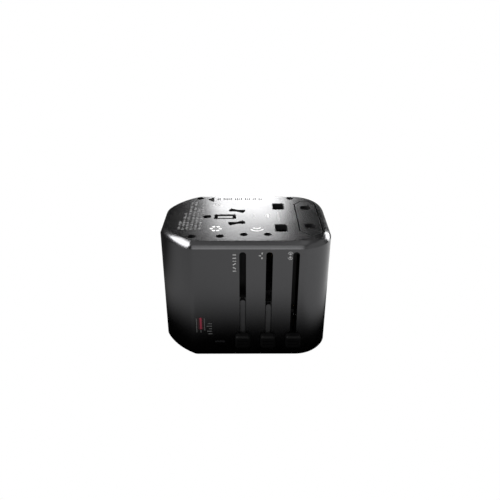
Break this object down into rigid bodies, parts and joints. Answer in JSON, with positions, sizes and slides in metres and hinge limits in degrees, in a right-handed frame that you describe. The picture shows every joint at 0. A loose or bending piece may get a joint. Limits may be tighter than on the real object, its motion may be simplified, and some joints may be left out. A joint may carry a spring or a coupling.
{
  "type": "universal travel adapter",
  "caption": "Pocket mains adapter block with sliding British, American, Australian and European plug pins, a shuttered universal socket and charging ports.",
  "frame": {"origin": "centre of the flat socket face the adapter rests on", "axes": "+Z the way the plug pins leave the body, +X towards the European pin end, -Y the side with the slider knobs"},
  "size_m": [0.0668, 0.0528, 0.052],
  "materials": {
    "housing_grey": "satin metallic paint, very dark grey",
    "black_plastic": "fine matte moulding",
    "slider_grey": "satin",
    "knob_black": "satin",
    "pin_nickel": "bright nickel plate",
    "contact_brass": "stamped, satin",
    "spring_steel": "drawn wire",
    "screw_black": "black oxide",
    "board_green": "solder mask",
    "port_steel": "plated sheet",
    "port_tongue_white": "moulded",
    "transformer_core": "ferrite and tape",
    "capacitor_sleeve": "shrink sleeve",
    "chip_black": "moulded epoxy",
    "lens_clear": "frosted",
    "fuse_ceramic": "glazed"
  },
  "bodies": {
    "housing": {"main_housing": "housing_grey", "plug_face_plate": "housing_grey", "socket_base": "housing_grey", "inner_frame": "black_plastic", "slot_screens": "black_plastic", "contact_block": "black_plastic", "live_contact": "contact_brass", "neutral_contact": "contact_brass", "earth_contact": "contact_brass", "live_busbar": "contact_brass", "neutral_busbar": "contact_brass", "shutter_spring": "spring_steel", "face_screws": "screw_black", "base_screws": "screw_black", "charger_board": "board_green", "usb_a_shells": "port_steel", "usb_a_tongues": "port_tongue_white", "usb_c_shell": "port_steel", "usb_c_tongue": "black_plastic", "transformer": "transformer_core", "filter_capacitors": "capacitor_sleeve", "controller_chips": "chip_black", "indicator_lens": "lens_clear", "fuse_holder": "black_plastic", "fuse_body": "fuse_ceramic", "fuse_end_caps": "contact_brass"},
    "us_slider": {"us_carriage": "slider_grey", "us_slider_knob": "knob_black", "us_wipers": "contact_brass"},
    "us_back_blade": {"us_blade_back": "pin_nickel", "us_blade_hub_back": "black_plastic"},
    "us_front_blade": {"us_blade_front": "pin_nickel", "us_blade_hub_front": "black_plastic"},
    "uk_slider": {"uk_carriage": "slider_grey", "uk_slider_knob": "knob_black", "uk_live_pin": "pin_nickel", "uk_neutral_pin": "pin_nickel", "uk_earth_pin": "black_plastic", "uk_pin_sleeves": "black_plastic", "uk_wipers": "contact_brass"},
    "eu_slider": {"eu_carriage": "black_plastic", "eu_slider_knob": "knob_black", "eu_pin_back": "pin_nickel", "eu_pin_front": "pin_nickel", "eu_pin_sleeves": "black_plastic", "eu_wipers": "contact_brass"},
    "eu_block": {"eu_plug_block": "housing_grey"},
    "shutter": {"socket_shutter": "black_plastic"},
    "fuse_drawer": {"fuse_cap": "knob_black"}
  },
  "joints": [
    {"name": "us_slide", "type": "slide", "parent": "housing", "child": "us_slider", "axis": [0, 0, 1], "range_m": [0, 0.0209]},
    {"name": "us_back_blade_twist", "type": "hinge", "parent": "us_slider", "child": "us_back_blade", "pos_m": [-0.00345, 0.00635, 0.026], "axis": [0, 0, 1], "range_deg": [-30, 0]},
    {"name": "us_front_blade_twist", "type": "hinge", "parent": "us_slider", "child": "us_front_blade", "pos_m": [-0.00345, -0.00635, 0.026], "axis": [0, 0, 1], "range_deg": [0, 30]},
    {"name": "uk_slide", "type": "slide", "parent": "housing", "child": "uk_slider", "axis": [0, 0, 1], "range_m": [0, 0.0229]},
    {"name": "eu_slide", "type": "slide", "parent": "housing", "child": "eu_slider", "axis": [0, 0, 1], "range_m": [0, 0.0353]},
    {"name": "eu_block_slide", "type": "slide", "parent": "housing", "child": "eu_block", "axis": [0, 0, 1], "range_m": [0, 0.0153]},
    {"name": "shutter_slide", "type": "slide", "parent": "housing", "child": "shutter", "axis": [1, 0, 0], "range_m": [0, 0.008], "stiffness_N_per_m": 120, "springref_m": -0.004, "deforming": ["shutter_spring"]},
    {"name": "fuse_cap_turn", "type": "hinge", "parent": "housing", "child": "fuse_drawer", "pos_m": [-0.0232, 0.0126, 0.001], "axis": [0, 0, 1], "range_deg": [0, 90]}
  ],
  "couplings": [
    {"joint": "eu_block_slide", "follows": "eu_slide", "ratio": 0.43341}
  ]
}
